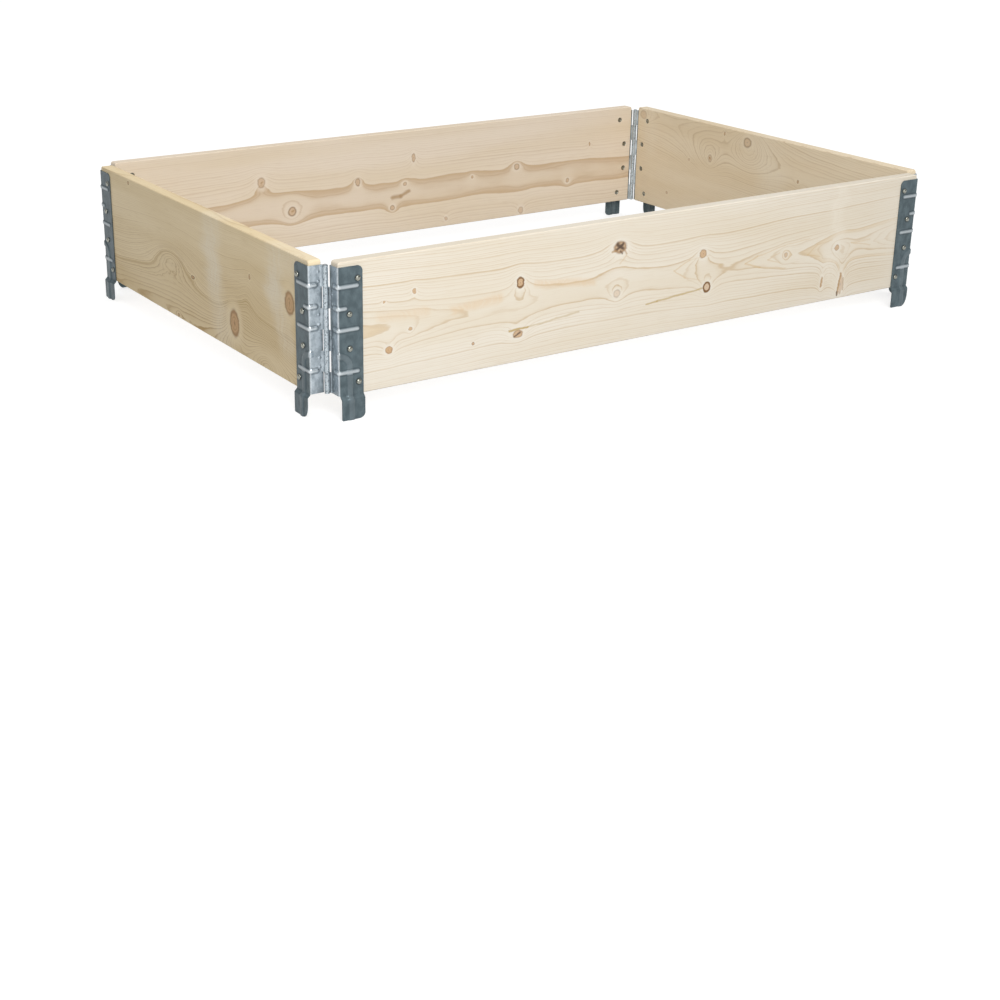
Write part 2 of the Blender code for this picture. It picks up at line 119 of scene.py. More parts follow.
floor_shader.inputs["Roughness"].default_value = 0.9
floor_shader.inputs["Specular IOR Level"].default_value = 0.0
floor.data.materials.append(floor_paint)

sky = bpy.data.worlds.new("sky")
bpy.context.scene.world = sky
sky.use_nodes = True
sky_way = add_node(sky.node_tree, "ShaderNodeTexCoord").outputs["Generated"]
sky_up = add_node(sky.node_tree, "ShaderNodeSeparateXYZ", {"Vector": sky_way}).outputs["Z"]
sky_level = add_node(sky.node_tree, "ShaderNodeMapRange",
                     {"Value": sky_up, "To Min": SKY_LOW, "To Max": SKY_HIGH},
                     interpolation_type="SMOOTHSTEP")
sky.node_tree.links.new(sky_level.outputs["Result"], sky.node_tree.nodes["Background"].inputs["Strength"])
sky.node_tree.nodes["Background"].inputs["Color"].default_value = (1.0, 1.0, 1.0, 1.0)

lamp_data = bpy.data.lights.new("soft_lamp", "AREA")
lamp_data.shape = "SQUARE"
lamp_data.size = LAMP_SIZE
lamp_data.energy = LAMP_WATTS
lamp = bpy.data.objects.new("soft_lamp", lamp_data)
bpy.context.scene.collection.objects.link(lamp)
lamp.location = LAMP_PLACE
lamp.rotation_euler = (LAMP_PLACE - LAMP_AIM).to_track_quat("Z", "Y").to_euler()

# Four planed spruce boards, bare wood, 195 mm high and 20 mm thick. Each is sawn from
# its own log, so each has its own hue and growth rings, with knots where the photograph shows
# them. The pale wood of all four is equally light, so that only the lamp shades a side.
BOARD_FOOT = 0.035
RING_PITCH = 0.0031


def calculate(tree, operation, *values, clamp=False):
    """One step of arithmetic on numbers or sockets."""
    made = add_node(tree, "ShaderNodeMath", operation=operation, use_clamp=clamp)
    for index, value in enumerate(values):
        if isinstance(value, bpy.types.NodeSocket):
            tree.links.new(value, made.inputs[index])
        else:
            made.inputs[index].default_value = value
    return made.outputs[0]


def calculate_vector(tree, operation, *values):
    """One step of arithmetic on vectors or sockets; a length, distance or dot product is a number."""
    made = add_node(tree, "ShaderNodeVectorMath", operation=operation)
    for index, value in enumerate(values):
        if isinstance(value, bpy.types.NodeSocket):
            tree.links.new(value, made.inputs[index])
        else:
            made.inputs[index].default_value = value
    return made.outputs["Value" if operation in ("LENGTH", "DISTANCE", "DOT_PRODUCT") else "Vector"]


def between(tree, value, low, high, from_value=0.0, to_value=1.0):
    """Eases from one value to another as a socket goes from low to high."""
    made = add_node(tree, "ShaderNodeMapRange", {"Value": value, "From Min": low, "From Max": high,
                                                 "To Min": from_value, "To Max": to_value},
                    interpolation_type="SMOOTHSTEP")
    return made.outputs["Result"]


def tint(tree, share, under, over):
    """Lays one colour over another."""
    made = add_node(tree, "ShaderNodeMix", data_type="RGBA")
    for index, value in ((0, share), (6, under), (7, over)):
        if isinstance(value, bpy.types.NodeSocket):
            tree.links.new(value, made.inputs[index])
        else:
            made.inputs[index].default_value = value
    return made.outputs[2]


def ramp(tree, value, stops):
    """A colour read off a ramp of (place, colour) stops; a plain number is a grey."""
    made = add_node(tree, "ShaderNodeValToRGB", {"Fac": value})
    elements = made.color_ramp.elements
    while len(elements) < len(stops):
        elements.new(0.5)
    for element, (place, colour) in zip(elements, stops):
        element.position = place
        element.color = colour if isinstance(colour, tuple) else (colour, colour, colour, 1.0)
    return made.outputs["Color"]


def noise(tree, vector, stretch, detail=2.0, offset=0.0):
    """Noise about nought, with its waves per metre along each axis."""
    place = add_node(tree, "ShaderNodeMapping", {"Vector": vector, "Location": (offset, offset, offset),
                                                 "Scale": stretch})
    made = add_node(tree, "ShaderNodeTexNoise", {"Vector": place.outputs["Vector"], "Scale": 1.0,
                                                 "Detail": detail, "Roughness": 0.5})
    return calculate(tree, "SUBTRACT", made.outputs["Fac"], 0.5)


def near_line(tree, place, start, end):
    """Distance of a place from the straight line between two points of a board's face."""
    start, end = (Vector((along / 1000, 0.0, height / 1000)) for along, height in (start, end))
    run = end - start
    past = calculate_vector(tree, "DOT_PRODUCT", calculate_vector(tree, "SUBTRACT", place, start), run)
    share = calculate(tree, "DIVIDE", past, run.length_squared, clamp=True)
    nearest = add_node(tree, "ShaderNodeMix", {0: share, 4: start, 5: end}, data_type="VECTOR").outputs[1]
    return calculate_vector(tree, "DISTANCE", place, nearest)


def knot_group():
    """A branch through the board: it pushes the rings round itself and darkens the wood.

    A branch of no darkness lies deeper, and only swirls the rings: it has no pale wood round it.
    """
    group = bpy.data.node_groups.new("knot", "ShaderNodeTree")
    for name, kind in (("Place", "NodeSocketVector"), ("Centre", "NodeSocketVector"),
                       ("Size", "NodeSocketVector"), ("Push", "NodeSocketFloat"),
                       ("Darkness", "NodeSocketFloat"), ("Bark", "NodeSocketFloat"),
                       ("Pushed", "NodeSocketFloat"), ("Dark", "NodeSocketFloat"),
                       ("Rim", "NodeSocketFloat"), ("Nearest", "NodeSocketFloat")):
        group.interface.new_socket(name, in_out="INPUT", socket_type=kind)
    for name in ("Pushed", "Dark", "Rim", "Nearest"):
        group.interface.new_socket(name, in_out="OUTPUT", socket_type="NodeSocketFloat")
    given = group.nodes.new("NodeGroupInput").outputs
    away = calculate_vector(group, "SUBTRACT", given["Place"], given["Centre"])
    scaled = calculate_vector(group, "DIVIDE", away, given["Size"])
    distance = calculate_vector(group, "LENGTH", scaled)
    eased = calculate_vector(group, "MULTIPLY", scaled, (0.38, 1.0, 0.34))
    spread = calculate_vector(group, "DOT_PRODUCT", eased, eased)
    hump = calculate(group, "POWER", calculate(group, "ADD", spread, 1.0), -1.5)
    pushed = calculate(group, "MULTIPLY_ADD", hump, given["Push"], given["Pushed"])
    mask = calculate(group, "MULTIPLY", between(group, distance, 1.15, 0.90), given["Darkness"])
    off_rim = calculate(group, "ABSOLUTE", calculate(group, "SUBTRACT", distance, 0.95))
    rim = calculate(group, "MULTIPLY", between(group, off_rim, 0.34, 0.10), given["Bark"])
    result = group.nodes.new("NodeGroupOutput").inputs
    group.links.new(pushed, result["Pushed"])
    group.links.new(calculate(group, "MAXIMUM", mask, given["Dark"]), result["Dark"])
    group.links.new(calculate(group, "MAXIMUM", rim, given["Rim"]), result["Rim"])
    deeper = between(group, given["Darkness"], 0.05, 0.0, 0.0, 9.0)
    group.links.new(calculate(group, "MINIMUM", calculate(group, "ADD", distance, deeper), given["Nearest"]),
                    result["Nearest"])
    return group


KNOT = knot_group()
KNOT_STOPS = ((0.0, (0.19, 0.10, 0.05, 1.0)), (0.14, (0.46, 0.27, 0.13, 1.0)),
              (0.38, (0.62, 0.40, 0.21, 1.0)), (0.50, (0.44, 0.26, 0.12, 1.0)),
              (0.64, (0.62, 0.40, 0.21, 1.0)), (0.86, (0.40, 0.235, 0.11, 1.0)))
KNOT_BARK = (0.20, 0.105, 0.042, 1.0)
LATEWOOD_STOPS = ((0.0, 0.0), (0.50, 0.06), (0.74, 0.30), (0.87, 1.0), (0.94, 0.85), (1.0, 0.0))


def lay_lines(tree, wood, lines, place, cover=1.0):
    """Lays soft-edged lines over the wood: (start, end, half width, share, colour) in millimetres."""
    for start, end, half_width, share, colour in lines:
        width = half_width / 1000
        line = between(tree, near_line(tree, place, start, end), width, width * 0.12, 0.0, share)
        wood = tint(tree, calculate(tree, "MULTIPLY", line, cover), wood, colour)
    return wood


def spruce(name, board, colours, log, bow, knots, streaks, marks):
    """Spruce sawn from a log whose pith lies beyond the board's outer face.

    board: axis along the board, outer face. colours: pale, warm, ring and heartwood.
    log: height and distance of the pith, slope of its height, ring contrast, heartwood
    radius, and a number for this log. bow: where the pith is furthest, and how it curves.
    knots: (along, height, half width, half height, darkness, bark) in millimetres.
    streaks and marks: lines for lay_lines, streaks under the knots and marks over them.
    """
    made, tree, shader = new_material(name)
    point = add_node(tree, "ShaderNodeTexCoord").outputs["Object"]
    axes = add_node(tree, "ShaderNodeSeparateXYZ", {"Vector": point}).outputs
    along_axis, face = board
    along = axes[along_axis]
    across = axes["Y" if along_axis == "X" else "X"]
    outward = calculate(tree, "MULTIPLY", across, math.copysign(1, face))
    depth = calculate(tree, "SUBTRACT", abs(face), outward)
    height = calculate(tree, "SUBTRACT", axes["Z"], BOARD_FOOT)
    place = add_node(tree, "ShaderNodeCombineXYZ", {"X": along, "Y": depth, "Z": height}).outputs["Vector"]
    pith_height, pith_distance, pith_slope, contrast, heart_radius, seed = log
    wobble = noise(tree, place, (9.0, 20.0, 45.0), 3.0, seed)
    edge = add_node(tree, "ShaderNodeCombineXYZ", {
        "X": calculate(tree, "MULTIPLY_ADD", noise(tree, place, (90.0, 30.0, 200.0), 2.0, seed), 0.005,
                       along),
        "Y": 0.0,
        "Z": calculate(tree, "MULTIPLY_ADD", noise(tree, place, (60.0, 30.0, 120.0), 2.0, seed + 2.0), 0.004,
                       height)}).outputs["Vector"]
    pushed, dark, rim, nearest = 0.0, 0.0, 0.0, 9.0
    for knot_along, knot_height, half_width, half_height, darkness, bark in knots:
        size = max(half_width, half_height) / 1000
        branch = add_node(tree, "ShaderNodeGroup", node_tree=KNOT)
        for socket, value in (("Place", edge), ("Centre", (knot_along / 1000, 0.0, knot_height / 1000)),
                              ("Size", (half_width / 1000, 1.0, half_height / 1000)),
                              ("Push", -size * 1.3), ("Darkness", darkness), ("Bark", bark),
                              ("Pushed", pushed), ("Dark", dark), ("Rim", rim), ("Nearest", nearest)):
            if isinstance(value, bpy.types.NodeSocket):
                tree.links.new(value, branch.inputs[socket])
            else:
                branch.inputs[socket].default_value = value
        pushed, dark, rim, nearest = (branch.outputs[socket]
                                      for socket in ("Pushed", "Dark", "Rim", "Nearest"))
    sway = calculate(tree, "MULTIPLY", noise(tree, place, (3.0, 0.0, 0.0), 1.0, seed + 3.0), 0.016)
    leaning = calculate(tree, "MULTIPLY_ADD", along, pith_slope, pith_height)
    rise = calculate(tree, "ADD", calculate(tree, "SUBTRACT", height, leaning), sway)
    bow_place, bow_size = bow
    off_bow = calculate(tree, "SUBTRACT", along, bow_place)
    curve = calculate(tree, "MULTIPLY", calculate(tree, "MULTIPLY", off_bow, off_bow), bow_size)
    reach = calculate(tree, "ADD", calculate(tree, "ADD", curve, pith_distance), depth)
    radius = calculate(tree, "SQRT", calculate(tree, "ADD", calculate(tree, "MULTIPLY", rise, rise),
                                               calculate(tree, "MULTIPLY", reach, reach)))
    radius = calculate(tree, "MULTIPLY_ADD", wobble, 0.0045, radius)
    radius = calculate(tree, "ADD", radius, pushed)
    count = calculate(tree, "MULTIPLY", radius, 1.0 / RING_PITCH)
    year_place = calculate(tree, "MULTIPLY_ADD", count, 0.37, seed)
    years = add_node(tree, "ShaderNodeTexNoise", {"W": year_place, "Scale": 1.0, "Detail": 1.0},
                     noise_dimensions="1D").outputs["Fac"]
    grown = calculate(tree, "MULTIPLY_ADD", years, 1.5, count)
    ring = calculate(tree, "FRACT", grown)
    year = add_node(tree, "ShaderNodeTexWhiteNoise", {"W": calculate(tree, "FLOOR", grown)},
                    noise_dimensions="1D").outputs["Value"]
    latewood = ramp(tree, ring, LATEWOOD_STOPS)
    patchy = between(tree, noise(tree, place, (3.0, 5.0, 14.0), 2.0, seed + 9.0), -0.22, 0.18, 0.45, 1.0)
    strength = calculate(tree, "MULTIPLY", calculate(tree, "MULTIPLY", latewood, patchy), contrast)
    strength = calculate(tree, "MULTIPLY", strength, between(tree, year, 0.0, 1.0, 0.40, 1.0))
    strength = calculate(tree, "MULTIPLY", strength, between(tree, radius, 0.14, 0.065, 0.42, 1.0))
    halo = between(tree, nearest, 2.3, 1.2)
    strength = calculate(tree, "MULTIPLY", strength, between(tree, nearest, 1.1, 2.2, 0.45, 1.0))
    pale, warm, line, heartwood = colours
    warmth = noise(tree, place, (2.0, 6.0, 16.0), 2.0, seed + 5.0)
    wood = tint(tree, between(tree, warmth, -0.25, 0.25), pale, warm)
    inside = calculate(tree, "SUBTRACT", heart_radius, radius)
    core = calculate(tree, "MULTIPLY", between(tree, inside, -0.0002, 0.0005),
                     between(tree, inside, 0.0045, 0.0, 0.16, 0.85))
    wood = tint(tree, core, wood, heartwood)
    wood = tint(tree, strength, wood, line)
    wood = tint(tree, calculate(tree, "MULTIPLY", halo, 0.55), wood, pale)
    shift = add_node(tree, "ShaderNodeCombineXYZ", {
        "X": calculate(tree, "MULTIPLY", wobble, 0.05), "Z": calculate(tree, "MULTIPLY", wobble, 0.012)})
    bent = calculate_vector(tree, "ADD", edge, shift.outputs[0])
    silk = between(tree, noise(tree, bent, (230.0, 1.0, 9.0), 2.0, seed + 7.0), -0.20, 0.14, 0.55, 1.0)
    wood = lay_lines(tree, wood, streaks, bent, silk)
    fibre = noise(tree, place, (25.0, 500.0, 900.0), 3.0, seed)
    wood = tint(tree, between(tree, fibre, 0.02, 0.28, 0.0, 0.24), wood, line)
    swirl = calculate(tree, "MULTIPLY_ADD", wobble, 0.5, nearest)
    wood = tint(tree, dark, wood, ramp(tree, swirl, KNOT_STOPS))
    wood = tint(tree, rim, wood, KNOT_BARK)
    wood = lay_lines(tree, wood, marks, edge)
    tree.links.new(wood, shader.inputs["Base Color"])
    grain_roughness = between(tree, fibre, -0.3, 0.3, 0.52, 0.68)
    tree.links.new(grain_roughness, shader.inputs["Roughness"])
    shader.inputs["Specular IOR Level"].default_value = 0.30
    relief = calculate(tree, "MULTIPLY_ADD", fibre, 0.5, calculate(tree, "MULTIPLY", strength, 0.25))
    bump = add_node(tree, "ShaderNodeBump", {"Height": relief, "Strength": 0.35, "Distance": 0.0004})
    tree.links.new(bump.outputs["Normal"], shader.inputs["Normal"])
    return made


# The two pale colours below lay bands across the grain: partly the wood's own figure, partly painted sheen
# that stays put under any light.
PALE_FIGURE_AND_SHEEN = (0.82, 0.765, 0.66, 1.0)
WARM_FIGURE_AND_SHEEN = (0.88, 0.81, 0.67, 1.0)
RESIN = (0.43, 0.28, 0.06, 1.0)
FLAME = (0.70, 0.51, 0.31, 1.0)
GRAIN = (0.62, 0.45, 0.245, 1.0)
BRANCH = (0.42, 0.25, 0.11, 1.0)
CHARRED = (0.10, 0.065, 0.045, 1.0)
POCKET = (0.43, 0.28, 0.15, 1.0)
PLAIN = (0.757, 0.693, 0.582, 1.0)
FRONT_COLOURS = ((0.783, 0.731, 0.637, 1.0), (0.731, 0.655, 0.528, 1.0),
                 (0.528, 0.368, 0.189, 1.0), (0.698, 0.575, 0.405, 1.0))
BACK_COLOURS = ((0.83, 0.72, 0.59, 1.0), (0.775, 0.65, 0.485, 1.0),
                (0.53, 0.37, 0.22, 1.0), (0.57, 0.40, 0.235, 1.0))
LEFT_COLOURS = ((0.863, 0.723, 0.486, 1.0), (0.745, 0.594, 0.356, 1.0),
                (0.410, 0.248, 0.081, 1.0), (0.593, 0.442, 0.227, 1.0))
RIGHT_COLOURS = ((0.84, 0.72, 0.535, 1.0), (0.77, 0.63, 0.43, 1.0),
                 (0.48, 0.33, 0.17, 1.0), (0.70, 0.54, 0.34, 1.0))
FRONT_LOG = (0.092, 0.058, 0.0, 0.80, 0.047, 3.0)
BACK_LOG = (0.075, 0.058, 0.0, 0.62, 0.0816, 17.0)
LEFT_LOG = (0.002, 0.030, 0.0, 1.0, 0.052, 29.0)
RIGHT_LOG = (0.150, 0.050, 0.12, 0.72, 0.0, 41.0)

board_spruce = {
    "front": spruce("front_spruce", ("X", -0.4), FRONT_COLOURS, FRONT_LOG, (-0.10, -0.063), (
        (-489, 56, 6, 6, 0.90, 0.0), (-446, 137, 3, 4, 0.80, 0.0), (-497, 128, 2, 2, 0.8, 0.0),
        (-453, 82, 3, 3, 0.8, 0.1), (-261, 123, 6, 8, 0.85, 0.90), (-264, 44, 9, 6, 0.80, 0.15),
        (-75, 152, 12, 9, 0.80, 0.25), (-78, 79, 6, 6, 0.35, 0.15), (-344, 42, 2.5, 2, 0.8, 0.6),
        (94, 119, 7, 7, 0.80, 0.10), (106, 63, 7, 8, 0.60, 1.0), (275, 93, 4, 4, 0.60, 0.1),
        (392, 90, 5, 5, 0.75, 0.10), (363, 35, 3, 9, 0.50, 0.0), (408, 24, 5, 17, 0.50, 0.0)), (
            ((-300, 104), (-380, 98), 12, 0.50, FLAME), ((-233, 117), (-120, 104), 9, 0.45, FLAME),
            # The pale bands among these streaks are wood figure with painted sheen.
            ((-500, 105), (-432, 104), 14, 0.35, FLAME), ((375, 75), (400, 10), 26, 0.45, PALE_FIGURE_AND_SHEEN),
            ((388, 190), (392, 100), 24, 0.40, PALE_FIGURE_AND_SHEEN), ((530, 150), (560, 20), 75, 0.60, PLAIN)), (
                ((-280, 51), (-246, 52), 2.6, 0.80, RESIN), ((-246, 52), (-150, 61), 2.4, 0.40, RESIN),
                ((-18, 53), (4, 55), 2.4, 0.65, RESIN), ((4, 55), (96, 62), 2.6, 0.60, RESIN),
                ((-270, 41), (-260, 46), 2.6, 0.8, CHARRED), ((-80, 157), (-70, 150), 5.5, 0.95, CHARRED),
                ((-82, 149), (-70, 157), 4.0, 0.95, CHARRED), ((-75, 146), (-70, 142), 2.2, 0.7, CHARRED),
                ((-90, 146), (-83, 147), 3.0, 0.7, BRANCH), ((-66, 146), (-62, 140), 2.6, 0.6, BRANCH),
                ((-63, 137), (-74, 126), 1.8, 0.45, GRAIN), ((407, 43), (402, 8), 3.2, 0.85, BRANCH),
                ((414, 34), (415, 14), 2.4, 0.6, BRANCH), ((363, 41), (362, 26), 2.6, 0.75, BRANCH),
                ((401, 12), (402, 6), 2.4, 0.8, CHARRED), ((35, 99), (67, 113), 1.9, 0.50, GRAIN),
                ((67, 113), (109, 115), 1.5, 0.25, GRAIN), ((35, 99), (59, 85), 1.9, 0.50, GRAIN),
                ((59, 85), (91, 76), 1.5, 0.30, GRAIN), ((185, 90), (212, 99), 2.2, 0.60, GRAIN),
                ((212, 99), (271, 110), 1.7, 0.45, GRAIN), ((271, 110), (327, 114), 1.5, 0.35, GRAIN),
                ((185, 90), (219, 80), 2.2, 0.60, GRAIN), ((219, 80), (276, 71), 1.7, 0.40, GRAIN),
                ((235, 90), (261, 99), 1.8, 0.40, GRAIN), ((235, 90), (263, 82), 1.8, 0.40, GRAIN),
                ((325, 87), (346, 101), 1.8, 0.50, GRAIN), ((346, 101), (380, 105), 1.6, 0.35, GRAIN),
                ((325, 87), (354, 80), 1.8, 0.40, GRAIN), ((425, 94), (470, 95), 1.8, 0.40, GRAIN),
                ((425, 94), (471, 85), 1.8, 0.40, GRAIN))),
    "back": spruce("back_spruce", ("X", 0.4), BACK_COLOURS, BACK_LOG, (0.0, 0.0), (
        (-290, 130, 8, 9, 0.55, 0.12), (-228, 69, 8, 8, 0.60, 0.40), (-87, 109, 5, 7, 0.6, 0.25),
        (37, 143, 4, 8, 0.6, 0.20), (18, 94, 4, 4, 0.6, 0.2), (-11, 51, 5, 5, 0.6, 0.25),
        (281, 100, 6, 6, 0.55, 0.3), (409, 59, 4, 4, 0.6, 0.2), (174, 90, 3, 3, 0.7, 0.0),
        (293, 10, 6, 7, 0.45, 0.1), (113, 15, 4, 4, 0.5, 0.1), (463, 128, 2, 4, 0.8, 0.0)), (), (
            ((-10, 70), (8, 71), 6.5, 0.80, POCKET), ((8, 72), (28, 80), 5.0, 0.80, POCKET),
            ((-228, 69), (-225, 70), 3.0, 0.7, BRANCH), ((-290, 129), (-288, 131), 3.0, 0.5, BRANCH))),
    "left": spruce("left_spruce", ("Y", -0.6), LEFT_COLOURS, LEFT_LOG, (0.45, -0.03), (
        (-131, 44, 15, 21, 0.95, 0.14), (-312, 120, 14, 17, 0.9, 0.14), (13, 82, 5, 3, 0.9, 0.8),
        (-187, 130, 2.5, 4, 0.8, 0.3), (94, 100, 42, 15, 0.0, 0.05), (75, 5, 4, 3, 0.8, 0.3),
        (-236, 6, 24, 26, 0.0, 0.0), (-176, 96, 13, 20, 0.0, 0.0),
        (254, 187, 4, 3, 0.7, 0.4)), (
            # These pale bands are wood figure with painted sheen.
            ((-66, 196), (-52, 150), 50, 0.35, WARM_FIGURE_AND_SHEEN), ((-52, 150), (-62, 100), 38, 0.38, WARM_FIGURE_AND_SHEEN),
            ((-62, 100), (-92, 12), 46, 0.38, WARM_FIGURE_AND_SHEEN), ((-276, 180), (-262, 130), 44, 0.40, WARM_FIGURE_AND_SHEEN),
            ((-262, 130), (-300, 60), 40, 0.45, WARM_FIGURE_AND_SHEEN),
            ((-330, 190), (-372, 170), 50, 0.35, WARM_FIGURE_AND_SHEEN)), (
                ((-131, 56), (-131, 34), 3.0, 0.35, BRANCH), ((-312, 128), (-312, 112), 3.0, 0.35, BRANCH))),
    "right": spruce("right_spruce", ("Y", 0.6), RIGHT_COLOURS, RIGHT_LOG, (0.20, -0.06), (
        (150, 124, 22, 18, 0.0, 0.0), (28, 168, 22, 20, 0.0, 0.0),
        (37, 176, 10, 9, 0.45, 0.35), (141, 128, 6, 7, 0.4, 0.20), (141, 128, 2, 3, 0.9, 0.3),
        (203, 114, 3, 3, 0.5, 0.0),
        (103, 183, 2, 4, 0.8, 0.2), (-106, 127, 2, 3, 0.8, 0.4), (266, 36, 3, 3, 0.6, 0.1),
        (353, 182, 10, 8, 0.35, 0.1)), (
            # These pale bands are wood figure with painted sheen.
            ((-10, 186), (-36, 120), 60, 0.20, WARM_FIGURE_AND_SHEEN), ((-36, 120), (-60, 20), 50, 0.15, WARM_FIGURE_AND_SHEEN),
            ((330, 190), (325, 120), 36, 0.22, WARM_FIGURE_AND_SHEEN)), ()),
}
for board_name, finish in board_spruce.items():
    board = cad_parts[board_name + "_board"]
    board.data.materials.clear()
    board.data.materials.append(finish)

# Hinge leaves, two at each corner, pressed from 1.5 mm zinc-plated sheet. Each blank is cut,
# its beads, ridge and joggled skirt are pressed, and it is folded round the board's end and
# curled into three knuckles. All eight share one zinc: dull faces and brighter end plates.
LEAF_SHEET = 0.0015
LEAF_TOP = 0.188
LEAF_BOTTOM = 0.001
FACE_WIDTH = 0.040
FACE_OUT = 0.0243
PLATE_ALONG = 0.0055
BEND_RADIUS = 0.0025
JOG_START = -0.0183
PLATE_END = -0.0218
CURL_START = -0.0243
CURL_BORE = 0.0025
CURL_ANGLE = math.radians(300)
CURL_END = CURL_START - CURL_BORE * CURL_ANGLE
KNUCKLES = 6
KNUCKLE_PITCH = (LEAF_TOP - LEAF_BOTTOM) / KNUCKLES
KNUCKLE_GAP = 0.0003
SKIRT_DROP = 0.035
JOGGLE_HEIGHT = 0.006
JOGGLE_OUT = 0.0045
TOP_CORNER = (0.008, 0.008)
BEND_CUT = (0.011, 0.020)
FREE_CUT = (0.010, 0.008)
SMALL_CUT = (0.002, 0.002)
CORNER_CUTS = 7
CORNER_REACH = 0.002
GAP_END = 0.01
CURL_STEPS = 18
BEND_STEPS = 6
PLATE_STEPS = 14
FACE_STEPS = 30
SKIRT_STEPS = 32
KNUCKLE_STEPS = 30
BEAD_RISE = 0.003
BEAD_HALF_WIDTH = 0.0040
BEAD_HEIGHT = 0.0015
BEAD_STEEPNESS = 1.6
BEAD_LONG = 0.0346
BEAD_SHORT = 0.0155
BEAD_BACK = -0.0150
PLAIN_GAP = 2
SHORT_GAP = 4
RIDGE_MIDDLE = 0.0175
RIDGE_HALF_WIDTH = 0.006
RIDGE_FLANK = 0.0030
RIDGE_HEIGHT = 0.0016
RIDGE_FADE = 0.008
PIP_PLACES = (0.24, 0.70)
PIP_BACK = -0.0160
PIP_RADIUS = 0.0026
PIP_HEIGHT = 0.0009
PIP_STEEPNESS = 1.3
RIVET_PLACES = ((0.032, 0.019), (0.0182, 0.0694), (0.0182, 0.1198), (0.032, 0.1702))
RIVET_HOLE = 0.0033
HOLE_MARGIN = 0.0006
PIN_PLACE = Vector((0.5775, 0.3775, 0.0))


def spaced(start, end, count):
    """Even places from start towards end, without the end."""
    return [start + (end - start) * step / count for step in range(count)]


def eased(value):
    """Eases from nought to one as a share of the way, and stays there beyond."""
    value = min(max(value, 0.0), 1.0)
    return value * value * (3 - 2 * value)


def owns_knuckle(hand, number):
    """Counted from the bottom, the left-hand leaf has the top knuckle and every second one below."""
    return number % 2 == (1 if hand == "left" else 0)


def off_bead(a, z):
    """Distance from the nearest bead as a share of its half width, above the bead and below it."""
    nearest = (2.0, 2.0)
    for gap in range(1, KNUCKLES):
        if gap == PLAIN_GAP:
            continue
        reach = (BEAD_SHORT if gap == SHORT_GAP else BEAD_LONG) - BEAD_HALF_WIDTH
        beyond = max(a - reach, BEAD_BACK + BEAD_HALF_WIDTH - a, 0.0)
        rise = z - LEAF_BOTTOM - gap * KNUCKLE_PITCH - BEAD_RISE
        off = math.hypot(beyond, rise) / BEAD_HALF_WIDTH
        if off < max(nearest):
            nearest = (off, 0.0) if rise > 0 else (0.0, off)
    return nearest


def pressed_out(a, z, hand):
    """How far the press pushes the sheet out; a is the distance from the bend, z the height."""
    height = BEAD_HEIGHT * eased(BEAD_STEEPNESS * (1 - max(off_bead(a, z))))
    centre = LEAF_BOTTOM + PLAIN_GAP * KNUCKLE_PITCH + BEAD_RISE - RIDGE_MIDDLE - RIDGE_HALF_WIDTH
    radius = math.hypot(max(a, 0.0), max(z - centre, 0.0))
    ring = eased((RIDGE_HALF_WIDTH - abs(radius - RIDGE_MIDDLE)) / RIDGE_FLANK)
    height = max(height, RIDGE_HEIGHT * ring * eased((a + RIDGE_FADE) / RIDGE_FADE))
    for number in range(KNUCKLES):
        if owns_knuckle(hand, number):
            for share in PIP_PLACES:
                middle = LEAF_BOTTOM + (number + share) * KNUCKLE_PITCH
                off = math.hypot(a - PIP_BACK, z - middle)
                height = max(height, PIP_HEIGHT * eased(PIP_STEEPNESS * (1 - off / PIP_RADIUS)))
    return height


def folded(a, owned):
    """Place along the board and out from the pin of a point of the blank, and the way out there."""
    if a >= BEND_RADIUS:
        return Vector((PLATE_ALONG + a, FACE_OUT)), Vector((0.0, 1.0))
    if a > -BEND_RADIUS:
        angle = math.radians(90) * (1 + (BEND_RADIUS - a) / (2 * BEND_RADIUS))
        way = Vector((math.cos(angle), math.sin(angle)))
        return Vector((PLATE_ALONG + BEND_RADIUS, FACE_OUT - BEND_RADIUS)) + way * BEND_RADIUS, way
    if a >= JOG_START or not owned:
        return Vector((PLATE_ALONG, FACE_OUT + a)), Vector((-1.0, 0.0))
    if a > CURL_START:
        share = (JOG_START - a) / (JOG_START - CURL_START)
        start, end = Vector((PLATE_ALONG, FACE_OUT + JOG_START)), Vector((CURL_BORE, 0.0))
        lean = 6 * share * (1 - share) * (end.x - start.x)
        way = Vector((end.y - start.y, -lean)).normalized()
        return Vector((start.x + (end.x - start.x) * eased(share), start.y + (end.y - start.y) * share)), way
    angle = (CURL_START - a) / CURL_BORE
    return (Vector((math.cos(angle), -math.sin(angle))) * CURL_BORE,
            Vector((-math.cos(angle), math.sin(angle))))


def pick_faces(mesh_object, wanted):
    """In edit mode, selects only the faces whose middle is wanted."""
    bpy.ops.mesh.select_all(action="DESELECT")
    bpy.ops.object.mode_set(mode="OBJECT")
    for polygon in mesh_object.data.polygons:
        polygon.select = wanted(polygon.center)
    bpy.ops.object.mode_set(mode="EDIT")
    bpy.ops.mesh.select_mode(type="FACE")


def cut_corner(blank, tip, ways, size):
    """Trims one corner of the flat blank to a quarter of an ellipse, cut by cut."""
    def on_curve(step):
        angle = math.radians(90) * step / CORNER_CUTS
        return Vector((tip[0] + ways[0] * size[0] * (1 - math.cos(angle)),
                       tip[1] + ways[1] * size[1] * (1 - math.sin(angle)), 0.0))

    for step in range(CORNER_CUTS):
        start, end = on_curve(step), on_curve(step + 1)
        out = Vector((end.y - start.y, start.x - end.x, 0.0)).normalized()
        if out.dot(Vector((*tip, 0.0)) - start) < 0:
            out = -out
        pick_faces(blank, lambda middle: (middle.x - tip[0]) * ways[0] < size[0] + CORNER_REACH
                   and (middle.y - tip[1]) * ways[1] < size[1] + CORNER_REACH)
        bpy.ops.mesh.bisect(plane_co=start, plane_no=out, clear_outer=True)


